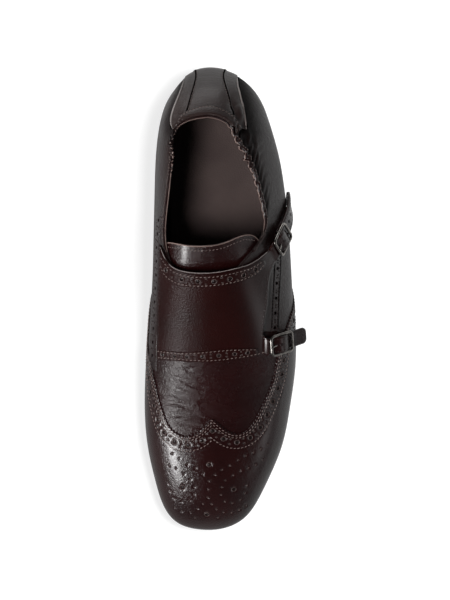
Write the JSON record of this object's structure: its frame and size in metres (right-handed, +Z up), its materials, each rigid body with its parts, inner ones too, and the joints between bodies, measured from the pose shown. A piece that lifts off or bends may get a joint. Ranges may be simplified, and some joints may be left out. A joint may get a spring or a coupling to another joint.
{
  "type": "double monk strap brogue shoe",
  "caption": "Low leather brogue with a decorated wing toe, closed over the instep by a perforated flap with buckled straps, on a thin sole with a low heel.",
  "frame": {"origin": "centre of the bounding box on the plan, on the floor", "axes": "+Y towards the heel, -Y towards the toe, +X towards the shoe's outer side with the buckles, +Z up"},
  "size_m": [0.104, 0.3, 0.0889],
  "materials": {
    "leather": "polished dark brown calf",
    "lining": "satin dark leather",
    "sole": "dark stained and waxed edge",
    "rubber": "matte black",
    "metal": "polished dark nickel"
  },
  "bodies": {
    "root": {"outsole": "sole", "heel_block": "sole", "heel_top_lift": "rubber", "insole": "lining", "upper": "leather", "tongue": "leather", "strap_panel": "leather", "buckle_tab_upper": "leather", "buckle_tab_lower": "leather", "buckle_frame_upper": "metal", "buckle_frame_lower": "metal", "buckle_prong_upper": "metal", "buckle_prong_lower": "metal"}
  },
  "joints": []
}
